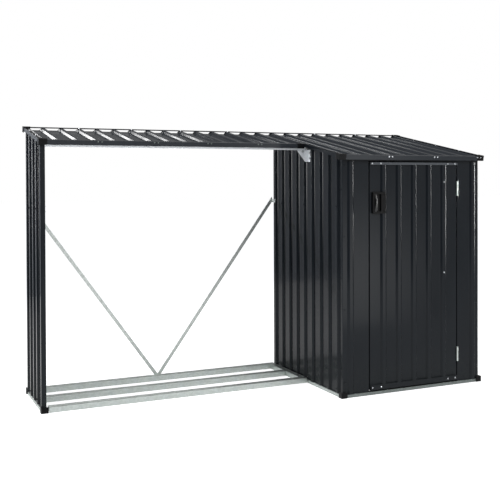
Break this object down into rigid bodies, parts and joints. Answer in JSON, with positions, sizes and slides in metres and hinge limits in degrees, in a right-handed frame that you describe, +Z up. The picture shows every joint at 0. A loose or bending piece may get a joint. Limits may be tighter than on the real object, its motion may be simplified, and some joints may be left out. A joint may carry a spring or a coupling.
{
  "type": "log store",
  "caption": "Steel log store: an open log bay on galvanised bearers beside a closed tool shed with a hinged door, under one ribbed lean-to roof.",
  "frame": {"origin": "middle of the part's outline on the ground", "axes": "+X along the store from the log bay to the shed, +Y from the front to the back, +Z up"},
  "size_m": [2.4914, 0.9534, 1.5094],
  "materials": {
    "anthracite_sheet": "glossy anthracite coil coating",
    "galvanised_steel": "bright galvanised",
    "black_plastic": "moulded, fine satin"
  },
  "bodies": {
    "store": {"front_bearer": "galvanised_steel", "middle_bearer": "galvanised_steel", "back_bearer": "galvanised_steel", "end_sill": "galvanised_steel", "shed_side_bearer": "galvanised_steel", "shed_front_sill": "galvanised_steel", "shed_back_sill": "galvanised_steel", "shed_left_sill": "galvanised_steel", "shed_right_sill": "galvanised_steel", "corner_feet": "black_plastic", "end_wall": "anthracite_sheet", "end_front_post": "anthracite_sheet", "end_back_post": "anthracite_sheet", "end_wall_girt": "galvanised_steel", "shed_left_wall": "anthracite_sheet", "shed_right_wall": "anthracite_sheet", "shed_back_wall": "anthracite_sheet", "front_left_panel": "anthracite_sheet", "front_right_panel": "anthracite_sheet", "shed_girts": "galvanised_steel", "bay_eave_beam": "anthracite_sheet", "bay_back_beam": "galvanised_steel", "shed_front_header": "anthracite_sheet", "shed_back_beam": "galvanised_steel", "end_top_rail": "galvanised_steel", "shed_left_top_rail": "galvanised_steel", "shed_right_top_rail": "galvanised_steel", "bay_roof": "anthracite_sheet", "shed_roof": "anthracite_sheet", "bay_eave_trim": "anthracite_sheet", "shed_eave_trim": "anthracite_sheet", "back_edge_trim": "anthracite_sheet", "left_verge_trim": "anthracite_sheet", "right_verge_trim": "anthracite_sheet", "step_verge_trim": "anthracite_sheet", "roof_corner_caps": "black_plastic", "left_brace": "galvanised_steel", "right_brace": "galvanised_steel", "eave_bracket": "galvanised_steel", "frame_hinge_leaves": "galvanised_steel"},
    "door": {"door_panel": "anthracite_sheet", "door_top_channel": "anthracite_sheet", "door_bottom_channel": "anthracite_sheet", "door_middle_channel": "galvanised_steel", "door_handle": "black_plastic", "door_hinge_leaves": "galvanised_steel"}
  },
  "joints": [
    {"name": "door_hinge", "type": "hinge", "parent": "store", "child": "door", "pos_m": [1.0755, -0.44432, 0.66], "axis": [0, 0, 1], "range_deg": [0, 110]}
  ]
}
